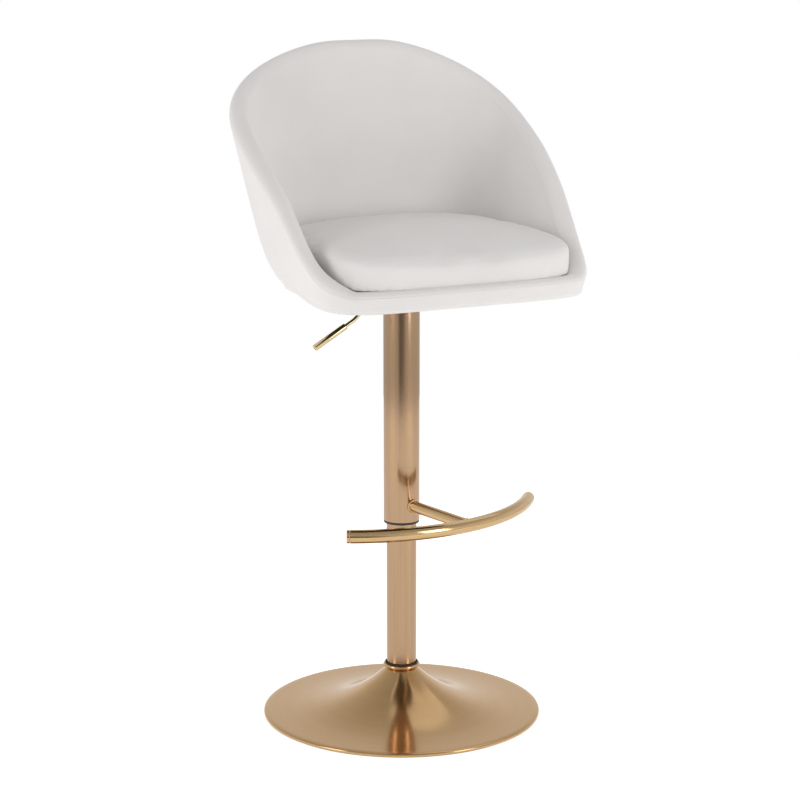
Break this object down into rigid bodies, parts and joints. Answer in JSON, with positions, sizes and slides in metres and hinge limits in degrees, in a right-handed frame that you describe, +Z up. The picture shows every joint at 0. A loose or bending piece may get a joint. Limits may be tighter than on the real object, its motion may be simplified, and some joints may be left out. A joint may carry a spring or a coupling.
{
  "type": "bar stool",
  "caption": "Height-adjustable swivel bar stool with a low padded bucket seat, round trumpet base, telescopic pole, curved footrest bar and side lever.",
  "frame": {"origin": "on the floor at the pole's axis, under the centre of the round base", "axes": "+Z up along the pole, the sitter faces -Y, +X is to the sitter's left"},
  "size_m": [0.5384, 0.4775, 1.116],
  "materials": {
    "rose_gold": "satin",
    "bright_gold": "gloss",
    "plain_steel": "satin",
    "zinc": "satin",
    "black_steel": "satin",
    "black_plastic": "matte",
    "rubber": "matte",
    "plywood": "matte",
    "leather": "satin",
    "padding": "satin",
    "dust_cloth": "matte"
  },
  "bodies": {
    "base": {"base_shell": "rose_gold", "floor_ring": "rubber", "reinforcing_plate": "plain_steel", "plate_web": "plain_steel", "collar_ring": "rose_gold", "collar_gasket": "rubber", "column_tube": "rose_gold", "column_end_plate": "plain_steel", "bearing_lower_race": "plain_steel", "bearing_ball_cage": "plain_steel", "guide_bush": "black_plastic"},
    "spindle": {"piston_rod": "plain_steel", "bearing_upper_race": "plain_steel", "rod_clip": "zinc", "bump_stop": "rubber", "gas_piston": "plain_steel"},
    "seat": {"gas_tube": "plain_steel", "tube_gland": "rubber", "hub_socket": "plain_steel", "lever_housing": "black_steel", "lever_pivot_pin": "zinc", "seat_plate": "black_steel", "plate_bolt_1": "zinc", "plate_washer_1": "zinc", "tee_nut_1": "zinc", "plate_bolt_2": "zinc", "plate_washer_2": "zinc", "tee_nut_2": "zinc", "plate_bolt_3": "zinc", "plate_washer_3": "zinc", "tee_nut_3": "zinc", "plate_bolt_4": "zinc", "plate_washer_4": "zinc", "tee_nut_4": "zinc", "sleeve_tube": "rose_gold", "sleeve_lower_bush": "black_plastic", "sleeve_top_bush": "black_plastic", "footrest_bar": "rose_gold", "footrest_strut": "rose_gold", "footrest_cap_left": "rose_gold", "footrest_cap_right": "rose_gold", "base_board": "plywood", "dust_cover": "dust_cloth", "bucket_frame": "plywood", "front_rail": "plywood", "outer_cover": "leather", "inner_pad": "padding", "cushion_board": "plywood", "seat_cushion": "padding"},
    "lever": {"lever_rod": "bright_gold", "lever_grip": "bright_gold"},
    "valve": {"valve_pin": "zinc"}
  },
  "joints": [
    {"name": "seat_swivel", "type": "hinge", "parent": "base", "child": "spindle", "pos_m": [0, 0, 0.03], "axis": [0, 0, 1], "continuous": true},
    {"name": "seat_lift", "type": "slide", "parent": "spindle", "child": "seat", "axis": [0, 0, 1], "range_m": [-0.215, 0]},
    {"name": "lever_lift", "type": "hinge", "parent": "seat", "child": "lever", "pos_m": [-0.028, 0, 0.715], "axis": [0, 1, 0], "range_deg": [0, 8], "stiffness_Nm_per_rad": 1, "springref_deg": -11.46},
    {"name": "valve_press", "type": "slide", "parent": "seat", "child": "valve", "axis": [0, 0, -1], "range_m": [0, 0.004]}
  ],
  "couplings": [
    {"joint": "valve_press", "follows": "lever_lift", "m_per_rad": 0.028}
  ]
}
